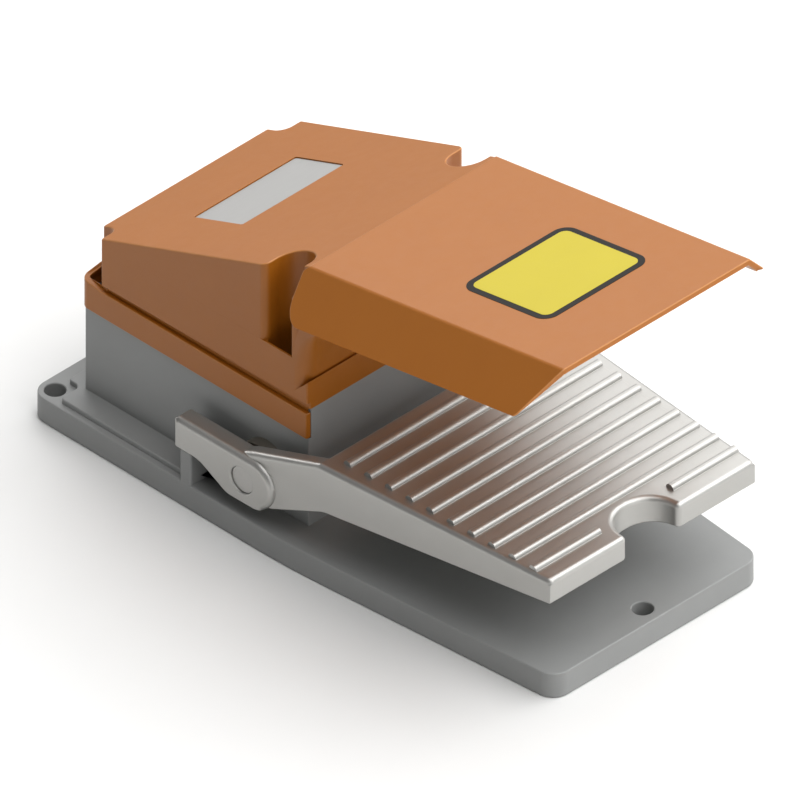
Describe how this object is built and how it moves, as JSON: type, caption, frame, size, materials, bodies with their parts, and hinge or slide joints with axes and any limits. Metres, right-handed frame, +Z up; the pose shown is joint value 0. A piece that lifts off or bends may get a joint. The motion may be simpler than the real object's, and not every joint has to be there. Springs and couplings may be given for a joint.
{
  "type": "guarded foot switch",
  "caption": "Industrial foot switch: a ribbed cast pedal on a shaft through a grey housing, under an orange cover with a foot guard, working a snap switch inside.",
  "frame": {"origin": "on the floor, under the middle of the base plate", "axes": "+Z up, +Y from the toe side to the cable inlet at the rear, X across"},
  "size_m": [0.1184, 0.24, 0.1363],
  "materials": {
    "grey_casting": "shot-blasted aluminium casting, grey paint",
    "orange_cover": "moulded, satin orange",
    "pedal_casting": "satin blasted aluminium casting",
    "label_metal": "brushed plate, bare",
    "steel": "zinc plated or ground steel",
    "brass": "plain brass",
    "bronze": "sintered bronze",
    "rubber": "moulded black rubber",
    "phenolic": "brown phenolic moulding",
    "black_plastic": "black polyamide",
    "red_plastic": "red moulding"
  },
  "bodies": {
    "housing": {"base_housing": "grey_casting", "cover": "orange_cover", "cover_gasket": "rubber", "cover_screws": "steel", "label_plate": "label_metal", "left_bush": "bronze", "right_bush": "bronze", "shaft_seals": "rubber", "return_spring": "steel", "switch_bracket": "steel", "bracket_screws": "steel", "switch_body": "phenolic", "switch_screws": "steel", "switch_nuts": "steel", "switch_terminals": "brass", "terminal_screws": "brass", "earth_screw": "steel", "earth_washer": "brass", "gland_body": "black_plastic", "gland_seal": "rubber", "gland_nut": "black_plastic", "gland_locknut": "black_plastic"},
    "pedal": {"pedal": "pedal_casting", "pedal_shaft": "steel", "ear_set_screws": "steel", "cam_lever": "steel", "lever_set_screw": "steel"},
    "plunger": {"switch_plunger": "red_plastic"}
  },
  "joints": [
    {"name": "pedal_hinge", "type": "hinge", "parent": "housing", "child": "pedal", "pos_m": [0, 0.01875, 0.0253], "axis": [1, 0, 0], "range_deg": [0, 11], "stiffness_Nm_per_rad": 6, "springref_deg": -17.19, "deforming": ["return_spring"]},
    {"name": "plunger_slide", "type": "slide", "parent": "housing", "child": "plunger", "axis": [0, 0, 1], "range_m": [0, 0.0045]}
  ],
  "couplings": [
    {"joint": "plunger_slide", "follows": "pedal_hinge", "m_per_rad": 0.0222}
  ]
}
